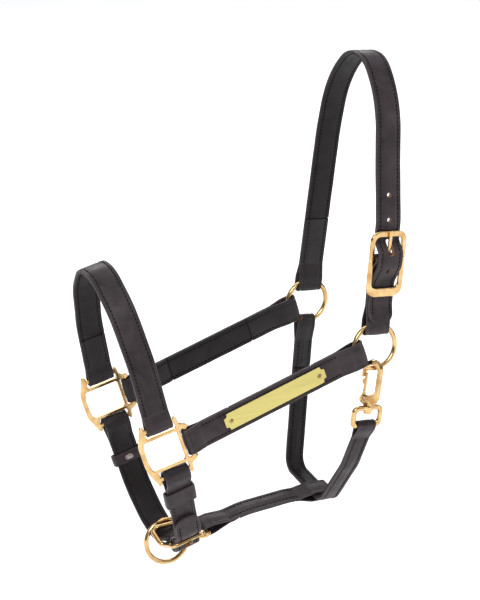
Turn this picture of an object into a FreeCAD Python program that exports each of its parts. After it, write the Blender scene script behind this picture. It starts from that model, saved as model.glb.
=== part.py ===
import FreeCAD, Part
import math
import os

import Sketcher

from FreeCAD import Placement, Rotation, Vector

# A horse's leather headcollar with brass fittings, in millimetres.
# +Z is up, the horse's nose points along -X and its near (left) side is -Y.
# The origin is the middle of the crown strap's underside, where it rests on the poll.

SIZES = {
    # leather
    "strap_width": 25.4,       # crown, noseband, cheeks and chin
    "throat_width": 19.0,      # throatlatch and jaw strap
    "ply": 2.0,                # one layer of leather, two are stitched together
    "hole_size": 4.6,
    "crown_lap": 66.0,
    "lap": 46.0,
    # where the fittings lie
    "crown_rise": 266.0,       # underside of the crown above the line through the cheek rings
    "rear_lean": 5.2,          # crown and throatlatch lean back
    "cheek_run": 217.0,        # cheek ring behind the halter square
    "cheek_drop": 66.0,        # halter square below the cheek ring
    "half_span": 70.0,         # cheek rings and squares from the middle plane
    "near_lean": 6.0,          # the near cheek follows the jaw, top inwards
    "square_lean": 17.5,       # noseband and chin lean forward at the squares
    "square_yaw": 9.0,         # the squares hang turned to the front of the near side
    "nose_lean": 12.5,
    "chin_lean": 15.0,
    # brass
    "wire": 4.7,               # rings and chin loop
    "ring_radius": 21.4,       # to the middle of the wire
    "cast": 3.5,               # thickness of the cast squares
    "bar_width": 3.6,                # width of a bar that carries a strap
    "bar_offset": 25.0,        # strap bar above and below the middle of a square
    "rear_bar_offset": 22.3,
    "frame_thickness": 3.2,
    "tongue_size": 3.0,
    "loop_length": 54.7,       # chin loop, to the middle of the wire
    "loop_width": 24.7,
    "hook_thickness": 5.0,
    "plate_length": 110.0,
    "plate_width": 16.5,
    "plate_thickness": 1.0,
    "rivet_spacing": 97.0,
    "clearance": 0.35,
}

doc = FreeCAD.newDocument("headcollar")
sheet = doc.addObject("Spreadsheet::Sheet", "Sizes")
for row, (alias, value) in enumerate(SIZES.items(), start=1):
    sheet.set("A%d" % row, alias)
    sheet.set("B%d" % row, str(value))
    sheet.setAlias("B%d" % row, alias)
doc.recompute()


def size(alias):
    return float(sheet.get(alias))


PLY = size("ply")
STACK = 2 * PLY
WIRE = size("wire")
RING = size("ring_radius")
CLEAR = size("clearance")
SPAN = size("half_span")
PARTS = []


# ---------------------------------------------------------------- frames

def about_y(degrees):
    return Rotation(Vector(0, 1, 0), degrees)


def rear_frame():
    """Crown and throatlatch: origin midway between the cheek rings, Z up the lean."""
    turn = about_y(size("rear_lean"))
    return Placement(turn.multVec(Vector(0, 0, -size("crown_rise"))), turn)


REAR = rear_frame()
FRONT_MIDDLE = REAR.Base - Vector(size("cheek_run"), 0, size("cheek_drop"))


def square_frame(side):
    """A halter square: X along its strap bars, Z up the noseband, Y through the casting."""
    turn = about_y(-size("square_lean")).multiply(Rotation(Vector(0, 0, 1), -size("square_yaw")))
    if side < 0:
        turn = turn.multiply(Rotation(Vector(1, 0, 0), -size("near_lean")))
    return Placement(FRONT_MIDDLE + Vector(0, side * SPAN, 0), turn)


NEAR_SQUARE = square_frame(-1)
OFF_SQUARE = square_frame(1)
BAR_ALONG = NEAR_SQUARE.Rotation.multVec(Vector(1, 0, 0))


def bar_frame(height, lean):
    """Frame of a strap that joins the two squares, with its origin between their bars."""
    near = NEAR_SQUARE.multVec(Vector(0, 0, height))
    off = OFF_SQUARE.multVec(Vector(0, 0, height))
    middle = (near + off) * 0.5
    frame = Placement(Vector(middle.x, 0, middle.z), about_y(-lean))
    return frame, frame.inverse().multVec(near), frame.inverse().multVec(off)


NOSE, NOSE_NEAR, NOSE_OFF = bar_frame(size("bar_offset"), size("nose_lean"))
CHIN, CHIN_NEAR, CHIN_OFF = bar_frame(-size("bar_offset"), size("chin_lean"))


def cheek_frame(side):
    """Frame of a cheek strap: origin at the square's rear bar, X towards the cheek ring."""
    square = NEAR_SQUARE if side < 0 else OFF_SQUARE
    start = square.multVec(Vector(size("rear_bar_offset"), 0, 0))
    ring = REAR.Base + Vector(0, side * SPAN, 0)
    rise = math.degrees(math.atan2(ring.z - start.z, ring.x - start.x))
    turn = about_y(-rise)
    if side < 0:
        turn = turn.multiply(Rotation(Vector(1, 0, 0), -size("near_lean")))
    frame = Placement(start, turn)
    return frame, frame.inverse().multVec(ring)


NEAR_CHEEK, NEAR_RING = cheek_frame(-1)
OFF_CHEEK, OFF_RING = cheek_frame(1)


# ---------------------------------------------------------------- outlines

def unit(vector):
    return vector * (1.0 / vector.Length)


def left_of(direction):
    return Vector(-direction.y, direction.x, 0)


def rounded_path(points, closed=False):
    """Runs joined by tangent arcs. A point is (x, y) or (x, y, corner radius)."""
    count = len(points)
    spots = [Vector(point[0], point[1], 0) for point in points]
    radii = [point[2] if len(point) > 2 else 0.0 for point in points]
    pieces = []
    cursor = None
    first = None
    for index in range(count):
        inner = closed or 0 < index < count - 1
        spot = spots[index]
        if not inner or radii[index] <= 0:
            entry = leave = spot
            arc = None
        else:
            before = unit(spot - spots[index - 1])
            after = unit(spots[(index + 1) % count] - spot)
            turn = math.atan2(before.cross(after).z, before.dot(after))
            reach = radii[index] * math.tan(abs(turn) / 2)
            entry = spot - before * reach
            leave = spot + after * reach
            side = 1 if turn > 0 else -1
            centre = entry + left_of(before) * (side * radii[index])
            arc = ("arc", centre, radii[index], entry, leave, side) if abs(turn) > 1e-6 else None
        if cursor is not None and (entry - cursor).dot(spot - spots[index - 1]) < -1e-6:
            raise RuntimeError("corner %d of a path is too round for its runs" % index)
        if cursor is not None and (entry - cursor).Length > 1e-6:
            pieces.append(("line", cursor, entry))
        if cursor is None:
            first = entry
        if arc:
            pieces.append(arc)
        cursor = leave
    if closed and (first - cursor).Length > 1e-6:
        pieces.append(("line", cursor, first))
    return pieces


def offset_edges(pieces, distance):
    """The same path moved to its left by a distance, as a list of edge end points."""
    edges = []
    for piece in pieces:
        if piece[0] == "line":
            shift = left_of(unit(piece[2] - piece[1])) * distance
            edges.append(("line", piece[1] + shift, piece[2] + shift))
        else:
            kind, centre, radius, start, end, side = piece
            grown = radius - side * distance
            start = centre + unit(start - centre) * grown
            end = centre + unit(end - centre) * grown
            edges.append(("arc", centre, grown, start, end, side))
    return edges


def edge_curve(edge):
    if edge[0] == "line":
        return Part.LineSegment(edge[1], edge[2])
    kind, centre, radius, start, end, side = edge
    middle = unit((start - centre) + (end - centre)) * radius + centre
    return Part.Arc(start, middle, end)


def flip(edge):
    if edge[0] == "line":
        return ("line", edge[2], edge[1])
    kind, centre, radius, start, end, side = edge
    return ("arc", centre, radius, end, start, -side)


def band_curves(points, low, high):
    """Closed outline of a strip that runs along a path, between two offsets to its left."""
    pieces = rounded_path(points)
    outer = offset_edges(pieces, high)
    inner = [flip(edge) for edge in reversed(offset_edges(pieces, low))]
    edges = outer + [("line", outer[-1][-2 if outer[-1][0] == "arc" else 2], inner[0][1])]
    edges += inner + [("line", inner[-1][2], outer[0][1])]
    return [edge_curve(edge) for edge in edges]


def loop_curves(points):
    return [edge_curve(edge) for edge in rounded_path(points, closed=True)]


def rectangle(width, height, radius, x=0.0, y=0.0):
    return [(x - width / 2, y - height / 2, radius), (x + width / 2, y - height / 2, radius),
            (x + width / 2, y + height / 2, radius), (x - width / 2, y + height / 2, radius)]


def circle_curve(x, y, diameter):
    return [Part.Circle(Vector(x, y, 0), Vector(0, 0, 1), diameter / 2)]


def between(start, end, share):
    return (start[0] + (end[0] - start[0]) * share, start[1] + (end[1] - start[1]) * share)


def at_height(start, end, height):
    return between(start, end, (height - start[1]) / (end[1] - start[1]))


def fold(bar, towards, half_gap, depth, lap, side=1, reach=None, taper=4.0):
    """Path of a strap turned round a bar, from the end of its lap to the sewn run.

    The path is the inner face of the leather. bar and towards are (x, y) places; the
    strap runs from the bar towards the second one. depth is how far past the bar's
    middle the turn reaches, and reach how far the loop stays open on the strap's side.
    side is 1 when the outer layer is left of that direction.
    """
    away = unit(Vector(towards[0] - bar[0], towards[1] - bar[1], 0))
    across = left_of(away) * side
    glue_line = 0.15
    reach = reach or half_gap + 0.6
    blend = reach + taper * half_gap

    def place(along, out, radius=None):
        spot = Vector(bar[0], bar[1], 0) + away * along + across * out
        return (spot.x, spot.y) if radius is None else (spot.x, spot.y, radius)

    return [place(lap, -glue_line),
            place(blend, -glue_line, 9.0),
            place(reach, -half_gap, 6.0),
            place(-depth, -half_gap, half_gap - 0.05),
            place(-depth, half_gap, half_gap - 0.05),
            place(reach, half_gap, 6.0),
            place(blend, 0, 9.0)]


# ---------------------------------------------------------------- bodies

def add_body(name, frame):
    body = doc.addObject("PartDesign::Body", name)
    body.Label = name
    body.Placement = frame
    return body


def plane_of(body, role):
    return [item for item in body.Origin.OriginFeatures if item.Role == role][0]


def add_sketch(body, role, outlines, lift=0.0):
    sketch = body.newObject("Sketcher::SketchObject", "sketch")
    sketch.AttachmentSupport = [(plane_of(body, role), "")]
    sketch.MapMode = "FlatFace"
    sketch.AttachmentOffset = Placement(Vector(0, 0, lift), Rotation())
    for outline in outlines:
        for curve in outline:
            sketch.addGeometry(curve, False)
    doc.recompute()
    return sketch


def add_pad(body, sketch, length, along=None, one_side=False):
    """length is a number or an expression on the sheet."""
    pad = body.newObject("PartDesign::Pad", "pad")
    pad.Profile = sketch
    pad.SideType = "One side" if one_side else "Symmetric"
    if along is not None:
        pad.UseCustomVector = True
        pad.Direction = along
        pad.AlongSketchNormal = False
    if isinstance(length, str):
        pad.setExpression("Length", length)
    else:
        pad.Length = length
    doc.recompute()
    if "Invalid" in pad.State:
        raise RuntimeError("pad fails in " + body.Label)
    return pad


def add_pocket(body, sketch, length, reverse=False, both=False):
    before = body.Shape.Volume
    pocket = body.newObject("PartDesign::Pocket", "pocket")
    pocket.Profile = sketch
    pocket.Length = length
    pocket.Reversed = reverse
    if both:
        pocket.SideType = "Symmetric"
    doc.recompute()
    if not body.Shape.Volume < before - 0.01:
        raise RuntimeError("pocket cuts nothing in " + body.Label)
    return pocket


def round_edges(body, base, names, radius):
    rounding = body.newObject("PartDesign::Fillet", "rounding")
    rounding.Base = (base, names)
    rounding.Radius = radius
    doc.recompute()
    return rounding


def face_rims(pad):
    """Edges of the two flat faces of a casting that was padded along its own Y."""
    return edges_where(pad.Shape, lambda edge: abs(edge.BoundBox.YMin - edge.BoundBox.YMax) < 1e-4)


def edges_where(shape, test):
    return ["Edge%d" % (index + 1) for index, edge in enumerate(shape.Edges) if test(edge)]


def keep(part):
    PARTS.append(part)
    return part


def strip(name, frame, role, points, layer, width="Sizes.strap_width", along=None):
    """A strap: one layer of leather (0 the outer one, -1 the lining) along a path."""
    body = add_body(name, frame)
    low = layer * PLY
    sketch = add_sketch(body, role, [band_curves(points, low, low + PLY)])
    add_pad(body, sketch, width, along)
    return body


def drill(place, direction, diameter, length):
    tool = doc.addObject("Part::Cylinder", "drill")
    tool.Radius = diameter / 2
    tool.Height = length
    tool.Placement = Placement(place - unit(direction) * (length / 2), Rotation(Vector(0, 0, 1), direction))
    return tool


def cut_from(name, body, tools):
    """A sub-part with holes made by tools that are placed in the whole model."""
    cutter = tools[0]
    if len(tools) > 1:
        cutter = doc.addObject("Part::MultiFuse", "drills")
        cutter.Shapes = tools
    cut = doc.addObject("Part::Cut", name)
    cut.Base = body
    cut.Tool = cutter
    body.Label = name + "_blank"
    cut.Label = name
    doc.recompute()
    if not cut.Shape.Volume < body.Shape.Volume - 0.01:
        raise RuntimeError("tools miss " + name)
    return cut


# ---------------------------------------------------------------- crown

CROWN_TOP = size("crown_rise") + PLY
NEAR_RING_TOP = (-SPAN + RING * math.sin(math.radians(size("near_lean"))), RING)
OFF_RING_TOP = (SPAN, RING)
RING_GAP = WIRE / 2 + CLEAR + 0.9
RING_DEPTH = 8.4

# The crown buckle stands upright in the rear frame, with its centre bar here.
BUCKLE_Y = -75.5
BUCKLE_Z = 90.0
BUCKLE_TOP = 26.0
BUCKLE_BOTTOM = -38.5
HOLE_HEIGHTS = [BUCKLE_Z - 12.0, BUCKLE_Z + 35.5, BUCKLE_Z + 58.5]
TONGUE_HOLE_HEIGHT = BUCKLE_Z + 10.5
BEHIND_FRAME = BUCKLE_Y + 4.0
OVER_BAR = BUCKLE_Y - 6.5

BILLET = [(-77.0, 24.5), (BEHIND_FRAME, 42.0, 20.0), (BEHIND_FRAME, 65.5, 12.0),
          (OVER_BAR, 83.0, 12.0), (OVER_BAR, 96.5, 6.0), (BEHIND_FRAME, 106.0, 6.0)]
ARCH_NEAR = [(-71.6, 124.0, 30.0), (-59.0, 179.9, 250.0), (-49.3, 235.2, 92.0), (-15.4, CROWN_TOP, 34.0)]
ARCH_OFF = [(15.4, CROWN_TOP, 34.0), (49.3, 235.2, 92.0), (59.0, 179.9, 250.0)]
OFF_CROWN_FOLD = fold(OFF_RING_TOP, ARCH_OFF[-1], RING_GAP, RING_DEPTH, size("crown_lap"), side=-1)
LINING_GAP = 0.8


def crown():
    outer = BILLET + ARCH_NEAR + ARCH_OFF + OFF_CROWN_FOLD[::-1]
    lap_height = OFF_RING_TOP[1] + size("crown_lap") + LINING_GAP
    inner = BILLET + ARCH_NEAR + ARCH_OFF + [at_height(ARCH_OFF[-1], OFF_CROWN_FOLD[-1], lap_height)]
    for name, path, layer in (("crown_strap", outer, 0), ("crown_lining", inner, -1)):
        body = strip(name, REAR, "YZ_Plane", path, layer)
        round_edges(body, body.Tip, tip_edges(body, path[0]), 10.5)
        holes = [circle_curve(0, height, size("hole_size")) for height in HOLE_HEIGHTS]
        sketch = add_sketch(body, "XZ_Plane", holes)
        add_pocket(body, sketch, 100, reverse=True)
        slot = add_sketch(body, "XZ_Plane", [loop_curves(rectangle(5.6, 14.0, 2.6, 0, TONGUE_HOLE_HEIGHT))])
        add_pocket(body, slot, 100, reverse=True)
        keep(body)


def tip_edges(body, end):
    """The two short edges at the free end of a strip, at one end of its path."""
    place = body.Placement.inverse()
    spot = Vector(0, end[0], end[1])

    def at_tip(edge):
        middle = place.multVec(edge.CenterOfMass)
        flat = Vector(0, middle.y, middle.z)
        return edge.Length < PLY + 0.1 and abs(middle.x) > 9 and (flat - spot).Length < PLY
    return edges_where(body.Shape, at_tip)


def crown_tab():
    centre_bar = (BUCKLE_Y, BUCKLE_Z)
    knee = (BEHIND_FRAME + 4.8, 66.0)
    bar_gap = size("bar_width") / 2 + CLEAR
    ring_fold = fold(NEAR_RING_TOP, knee, RING_GAP, RING_DEPTH, 42.0)
    bar_fold = fold(centre_bar, knee, bar_gap, bar_gap, 22.0, side=-1)
    path = ring_fold + [knee + (16.0,)] + bar_fold[::-1]
    body = strip("crown_buckle_tab", REAR, "YZ_Plane", path, 0)
    slot = add_sketch(body, "XZ_Plane", [loop_curves(rectangle(5.4, 14.0, 2.6, 0, BUCKLE_Z + 2))])
    add_pocket(body, slot, 100, reverse=True)
    keep(body)


# ---------------------------------------------------------------- buckles

def buckle(name, frame, top, bottom, outer_width, side_bar, end_bar, corner):
    """Cast frame in its own XZ plane with a round centre bar through the origin."""
    body = add_body(name, frame)
    middle = (top + bottom) / 2
    tall = top - bottom
    outer = loop_curves(rectangle(outer_width, tall, corner, 0, middle))
    low = bottom + end_bar
    high = top - side_bar - 1
    inner = loop_curves(rectangle(outer_width - 2 * side_bar, high - low, corner - side_bar, 0, (low + high) / 2))
    sketch = add_sketch(body, "XZ_Plane", [outer, inner])
    pad = add_pad(body, sketch, "Sizes.frame_thickness")
    round_edges(body, pad, face_rims(pad), 1.1)
    bar = add_sketch(body, "YZ_Plane", [circle_curve(0, 0, size("bar_width"))])
    add_pad(body, bar, outer_width - 2.5)
    return body


def tongue(name, frame, reach, rise):
    """Buckle tongue: an eye round the centre bar and a shank that rests on the frame."""
    thick = size("tongue_size")
    eye_inner = size("bar_width") / 2 + 0.3
    eye_outer = eye_inner + 1.5
    body = add_body(name, frame)
    eye = add_sketch(body, "YZ_Plane", [circle_curve(0, 0, 2 * eye_outer), circle_curve(0, 0, 2 * eye_inner)])
    add_pad(body, eye, thick)
    shank = [(-2.4, 1.75), (-2.4, 4.0, 2.0), (-rise, reach - 8, 8.0), (-rise, reach)]
    bar = add_sketch(body, "YZ_Plane", [band_curves(shank, -thick * 0.35, thick * 0.35)])
    add_pad(body, bar, thick)
    return keep(body)


def crown_buckle():
    frame = REAR.multiply(Placement(Vector(0, BUCKLE_Y, BUCKLE_Z), Rotation()))
    keep(buckle("crown_buckle_frame", frame, BUCKLE_TOP, BUCKLE_BOTTOM, 38.0, 4.8, 8.6, 10.0))
    tongue("crown_buckle_tongue", frame, BUCKLE_TOP + 0.8, size("frame_thickness") / 2 + 1.4)


# ---------------------------------------------------------------- rings, squares, cheeks

def ring(name, centre, turn):
    torus = doc.addObject("Part::Torus", name)
    torus.Label = name
    torus.setExpression("Radius1", "Sizes.ring_radius")
    torus.setExpression("Radius2", "Sizes.wire / 2")
    torus.Placement = Placement(centre, turn.multiply(Rotation(Vector(1, 0, 0), 90)))
    doc.recompute()
    return keep(torus)


def cheek_rings():
    ring("near_cheek_ring", REAR.Base + Vector(0, -SPAN, 0), NEAR_CHEEK.Rotation)
    ring("off_cheek_ring", REAR.Base + Vector(0, SPAN, 0), OFF_CHEEK.Rotation)


def square(name, frame):
    """Halter square: a cast frame with a D-shaped opening and three strap slots."""
    reach = size("bar_offset") + size("bar_width") / 2
    rear = size("rear_bar_offset") + size("bar_width") / 2
    slot_half = size("strap_width") / 2 + 1.8
    opening = 14.7
    inner_bar = 17.7
    outline = [(-17.8, 30.5, 1.5), (-24.6, 12.0, 18.0), (-24.6, -12.0, 18.0), (-17.8, -30.5, 1.5),
               (-slot_half, -30.5, 1.5), (-slot_half, -reach, 0.8), (slot_half, -reach, 0.8),
               (slot_half + 0.6, -30.2, 1.0), (17.6, -27.5, 3.0), (18.4, -20.6, 2.5), (23.6, -18.6, 2.5),
               (26.8, -slot_half, 0.8), (rear, -slot_half, 0.8), (rear, slot_half, 0.8),
               (26.8, slot_half, 0.8), (23.6, 18.6, 2.5), (18.4, 20.6, 2.5), (17.6, 27.5, 3.0),
               (slot_half + 0.6, 30.2, 1.0), (slot_half, reach, 0.8), (-slot_half, reach, 0.8),
               (-slot_half, 30.5, 1.5)]
    window = [(-18.6, opening, 2.0), (-20.3, 6.5, 10.0), (-20.3, -6.5, 10.0), (-18.6, -opening, 2.0),
              (13.8, -opening, 2.0), (13.8, opening, 2.0)]
    slot_low = inner_bar
    slot_high = size("bar_offset") - size("bar_width") / 2
    slot = rectangle(2 * slot_half, slot_high - slot_low, 1.0, 0, (slot_low + slot_high) / 2)
    under = [(x, -y, radius) for x, y, radius in reversed(slot)]
    rear_low = 17.2
    rear_high = size("rear_bar_offset") - size("bar_width") / 2
    behind = rectangle(rear_high - rear_low, 2 * slot_half, 1.0, (rear_low + rear_high) / 2, 0)
    body = add_body(name, frame)
    loops = [loop_curves(points) for points in (outline, window, slot, under, behind)]
    pad = add_pad(body, add_sketch(body, "XZ_Plane", loops), "Sizes.cast")
    round_edges(body, pad, face_rims(pad), 0.7)
    return keep(body)


def squares():
    square("near_halter_square", NEAR_SQUARE)
    square("off_halter_square", OFF_SQUARE)


BAR_GAP = size("cast") / 2 + CLEAR + 0.25
BAR_DEPTH = 3.8
REAR_BAR_GAP = 2.7


def ring_front(ring_place):
    """Where the ring's wire passes through the cheek strap's rear fold."""
    return (ring_place.x - RING, ring_place.y)


def cheek(name, frame, ring_place, side):
    """side is -1 for the near cheek, whose outer face looks along -Y."""
    bar = (0.0, 0.0)
    wire = ring_front(ring_place)
    lap = size("lap")
    square_fold = fold(bar, wire, REAR_BAR_GAP, REAR_BAR_GAP, lap, side=side)
    ring_fold = fold(wire, bar, RING_GAP, RING_DEPTH, lap, side=-side)
    if side > 0:
        path = square_fold + ring_fold[::-1]
    else:
        path = ring_fold + square_fold[::-1]
    outer = strip(name + "_strap", frame, "XY_Plane", path, 0)
    span = math.hypot(*wire)
    start = between(bar, wire, (lap + LINING_GAP) / span)
    end = between(wire, bar, (lap + LINING_GAP) / span)
    inner = strip(name + "_lining", frame, "XY_Plane", [start, end] if side > 0 else [end, start], -1)
    return outer, inner


def plate_frame():
    """Name plate on the near cheek: X along the strap, Y out of the plate's face."""
    wire = ring_front(NEAR_RING)
    slope = math.degrees(math.atan2(wire[1], wire[0]))
    turn = NEAR_CHEEK.Rotation.multiply(Rotation(Vector(0, 0, 1), slope))
    middle = between((0, 0), wire, 0.505)
    face = NEAR_CHEEK.multVec(Vector(middle[0], middle[1], 0))
    return Placement(face, turn)


def cheeks():
    plate = plate_frame()
    drills = []
    for end in (-1, 1):
        spot = plate.multVec(Vector(end * size("rivet_spacing") / 2, 0, 0))
        drills.append(drill(spot, plate.Rotation.multVec(Vector(0, 1, 0)), 2.6, 16.0))
    outer, inner = cheek("near_cheek", NEAR_CHEEK, NEAR_RING, -1)
    keep(cut_from(outer.Label, outer, drills))
    keep(inner)
    for layer in cheek("off_cheek", OFF_CHEEK, OFF_RING, 1):
        keep(layer)


def name_plate():
    """Blank brass plate with notched corners, held by two rivets with burrs behind."""
    frame = plate_frame()
    half = size("plate_length") / 2
    tall = size("plate_width") / 2
    notch = 3.6
    outline = [(-half + notch, -tall, 0.8), (half - notch, -tall, 0.8), (half - notch, -tall + notch, 2.4),
               (half, -tall + notch, 0.8), (half, tall - notch, 0.8), (half - notch, tall - notch, 2.4),
               (half - notch, tall, 0.8), (-half + notch, tall, 0.8), (-half + notch, tall - notch, 2.4),
               (-half, tall - notch, 0.8), (-half, -tall + notch, 0.8), (-half + notch, -tall + notch, 2.4)]
    holes = [circle_curve(end * size("rivet_spacing") / 2, 0, 2.6) for end in (-1, 1)]
    body = add_body("name_plate", frame)
    sketch = add_sketch(body, "XZ_Plane", [loop_curves(outline)] + holes, lift=PLY)
    add_pad(body, sketch, "Sizes.plate_thickness", one_side=True)
    keep(body)
    front = -(PLY + size("plate_thickness"))
    rivets = []
    burrs = []
    for end in (-1, 1):
        spot = Vector(end * size("rivet_spacing") / 2, 0, 0)
        shank = Part.makeCylinder(1.25, PLY - front + 1.3, spot + Vector(0, front, 0), Vector(0, 1, 0))
        head = Part.makeSphere(3.0, spot + Vector(0, front + 1.9, 0), Vector(0, 1, 0))
        block = Part.makeBox(12, 6, 12, spot + Vector(-6, front - 6, -6))
        rivets.append(shank.fuse(head.common(block)).removeSplitter())
        washer = Part.makeCylinder(3.2, 0.9, spot + Vector(0, PLY + 0.2, 0), Vector(0, 1, 0))
        burrs.append(washer.cut(Part.makeCylinder(1.25, 3, spot + Vector(0, PLY - 1, 0), Vector(0, 1, 0))))
    for name, solids in (("name_plate_rivets", rivets), ("name_plate_burrs", burrs)):
        group = doc.addObject("Part::Feature", name)
        group.Label = name
        group.Shape = Part.makeCompound(solids)
        group.Placement = frame
        keep(group)


# ---------------------------------------------------------------- noseband

def bar_direction(frame):
    return frame.Rotation.inverted().multVec(BAR_ALONG)


def noseband():
    near_bar = (NOSE_NEAR.y, NOSE_NEAR.z)
    off_bar = (NOSE_OFF.y, NOSE_OFF.z)
    apex = 140.0
    arch = [(-61.5, 62.0, 80.0), (-43.0, 111.0, 60.0), (-15.0, apex, 32.0),
            (15.0, apex, 32.0), (43.0, 111.0, 60.0), (62.5, 62.0, 80.0)]
    near_fold = fold(near_bar, arch[0], BAR_GAP, BAR_DEPTH, size("lap"))
    off_fold = fold(off_bar, arch[-1], BAR_GAP, BAR_DEPTH, size("lap"), side=-1)
    along = bar_direction(NOSE)
    keep(strip("noseband_strap", NOSE, "YZ_Plane", near_fold + arch + off_fold[::-1], 0, along=along))
    lining_foot = size("lap") + LINING_GAP
    near_foot = at_height(near_fold[-1], arch[0], lining_foot)
    off_foot = at_height(off_fold[-1], arch[-1], lining_foot)
    keep(strip("noseband_lining", NOSE, "YZ_Plane", [near_foot] + arch + [off_foot], -1, along=along))


# ---------------------------------------------------------------- chin

CHIN_SLOPE = 23.0
CHIN_BUCKLE = (-37.5, -90.0)
CHIN_BUCKLE_TOP = 21.0
CHIN_BUCKLE_BOTTOM = -20.2
CHIN_BAR_GAP = BAR_GAP + 2.6
CHIN_BAR_DEPTH = 4.3


def on_buckle(along, out, radius=None):
    """Place in the chin's profile, measured up the chin buckle and out of its face."""
    slope = math.radians(CHIN_SLOPE)
    up = Vector(-math.cos(slope), math.sin(slope), 0)
    face = Vector(-math.sin(slope), -math.cos(slope), 0)
    spot = Vector(CHIN_BUCKLE[0], CHIN_BUCKLE[1], 0) + up * along + face * out
    return (spot.x, spot.y) if radius is None else (spot.x, spot.y, radius)


CHIN_FOOT = on_buckle(-26.0, -4.2, 30.0)
CHIN_BOTTOM = (15.0, -108.8, 24.0)
CHIN_RUN = [(58.0, -70.0, 60.0), (38.0, -101.0, 34.0), CHIN_BOTTOM, CHIN_FOOT]
TAB_KNEE = on_buckle(23.0, -8.6, 7.0)
NEAR_LEG = unit(Vector(TAB_KNEE[0] - CHIN_NEAR.y, TAB_KNEE[1] - CHIN_NEAR.z, 0))
BILLET_KNEE = on_buckle(25.4, -4.2, 11.4)


def slot_tool(frame, width, height, middle):
    """A round-ended slot through a strap, in a buckle's own XZ plane."""
    box = doc.addObject("Part::Box", "slot")
    box.Length = width
    box.Width = 30
    box.Height = height
    box.Placement = frame.multiply(Placement(Vector(-width / 2, -15, middle - height / 2), Rotation()))
    return box


def chin_strap():
    off_bar = (CHIN_OFF.y, CHIN_OFF.z)
    lap = 42.0
    off_fold = fold(off_bar, CHIN_RUN[0], CHIN_BAR_GAP, CHIN_BAR_DEPTH, lap, taper=2.4)
    weave = [on_buckle(-13.6, -4.3, 5.0), on_buckle(-5.5, 6.6, 6.0), on_buckle(4.5, 6.6, 6.0),
             on_buckle(15.0, -4.2, 6.0), BILLET_KNEE]
    tip = (BILLET_KNEE[0] - NEAR_LEG.x * 25.0, BILLET_KNEE[1] - NEAR_LEG.y * 25.0)
    run = CHIN_RUN + weave + [tip]
    foot = at_height(off_fold[-1], CHIN_RUN[0], -lap - LINING_GAP)
    layers = (("chin_strap", off_fold + run, 0), ("chin_strap_lining", [foot] + run, -1))
    for name, path, layer in layers:
        body = strip(name, CHIN, "YZ_Plane", path, layer)
        round_edges(body, body.Tip, tip_edges(body, tip), 11.0)
        slot = slot_tool(chin_buckle_frame(), 5.6, 14.0, 8.6)
        keep(cut_from(name, body, [slot]))


def chin_tab():
    near_bar = (CHIN_NEAR.y, CHIN_NEAR.z)
    bar_gap = size("bar_width") / 2 + CLEAR
    square_fold = fold(near_bar, TAB_KNEE, CHIN_BAR_GAP, CHIN_BAR_DEPTH, 46.0, side=-1, taper=2.4)
    approach = on_buckle(12.0, -8.6, 6.0)
    bar_fold = fold(CHIN_BUCKLE, approach, bar_gap, bar_gap, 12.6)
    path = bar_fold + [approach, TAB_KNEE] + square_fold[::-1]
    body = strip("near_chin_tab", CHIN, "YZ_Plane", path, 0)
    slot = slot_tool(chin_buckle_frame(), 5.4, 14.0, 2.0)
    keep(cut_from("near_chin_tab", body, [slot]))


def chin_buckle_frame():
    turn = Rotation(Vector(1, 0, 0), 90 - CHIN_SLOPE)
    return CHIN.multiply(Placement(Vector(0, CHIN_BUCKLE[0], CHIN_BUCKLE[1]), turn))


def chin_buckle():
    frame = chin_buckle_frame()
    keep(buckle("chin_buckle_frame", frame, CHIN_BUCKLE_TOP, CHIN_BUCKLE_BOTTOM, 37.0, 4.0, 4.4, 7.5))
    tongue("chin_buckle_tongue", frame, CHIN_BUCKLE_TOP + 0.6, size("frame_thickness") / 2 + 1.4)


def band_frame(place, direction):
    """Frame of a leather band on a strap that lies in the chin's profile, Z up the strap."""
    angle = math.degrees(math.atan2(-direction.x, direction.y))
    turn = Rotation(Vector(1, 0, 0), angle)
    return CHIN.multiply(Placement(Vector(0, place[0], place[1]), turn))


def band(name, frame, room, thickness, height):
    """A closed leather band round a strap."""
    width = size("strap_width") + room
    deep = STACK + 0.9
    wall = thickness
    outer = loop_curves(rectangle(width + 2 * wall, deep + 2 * wall, 2.2))
    inner = loop_curves(rectangle(width, deep, 0.6))
    body = add_body(name, frame)
    add_pad(body, add_sketch(body, "XY_Plane", [outer, inner]), height)
    return body


def chin_bands():
    up = -NEAR_LEG
    place = (CHIN_NEAR.y + NEAR_LEG.x * 28.0, CHIN_NEAR.z + NEAR_LEG.y * 28.0)
    keeper = band("chin_keeper", band_frame(place, up), 1.8, 2.0, 17.0)
    keep(keeper)
    leg = unit(Vector(CHIN_OFF.y - CHIN_RUN[0][0], CHIN_OFF.z - CHIN_RUN[0][1], 0))
    place = (CHIN_OFF.y - leg.x * 39.0, CHIN_OFF.z - leg.y * 39.0)
    frame = band_frame(place, leg)
    keep(band("off_chin_band", frame, 2.6, 1.9, 11.0))
    stud = add_body("off_chin_stud", frame)
    face = (STACK + 0.9) / 2 + 1.9
    outline = loop_curves(rectangle(8.6, 5.4, 2.65))
    pad = add_pad(stud, add_sketch(stud, "XZ_Plane", [outline], lift=face), 1.4, one_side=True)
    rim = edges_where(pad.Shape, lambda edge: abs(edge.BoundBox.YMin - edge.BoundBox.YMax) < 1e-4
                      and edge.BoundBox.YMax < -face - 1.3)
    round_edges(stud, pad, rim, 0.9)
    keep(stud)


# ---------------------------------------------------------------- chin loop and ring

LOOP_YAW = 5.0
LOOP_TILT = 22.0
LOOP_SHIFT = 11.2
CHIN_CROSSING = -3.0
RING_CROSSING = 18.0


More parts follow.
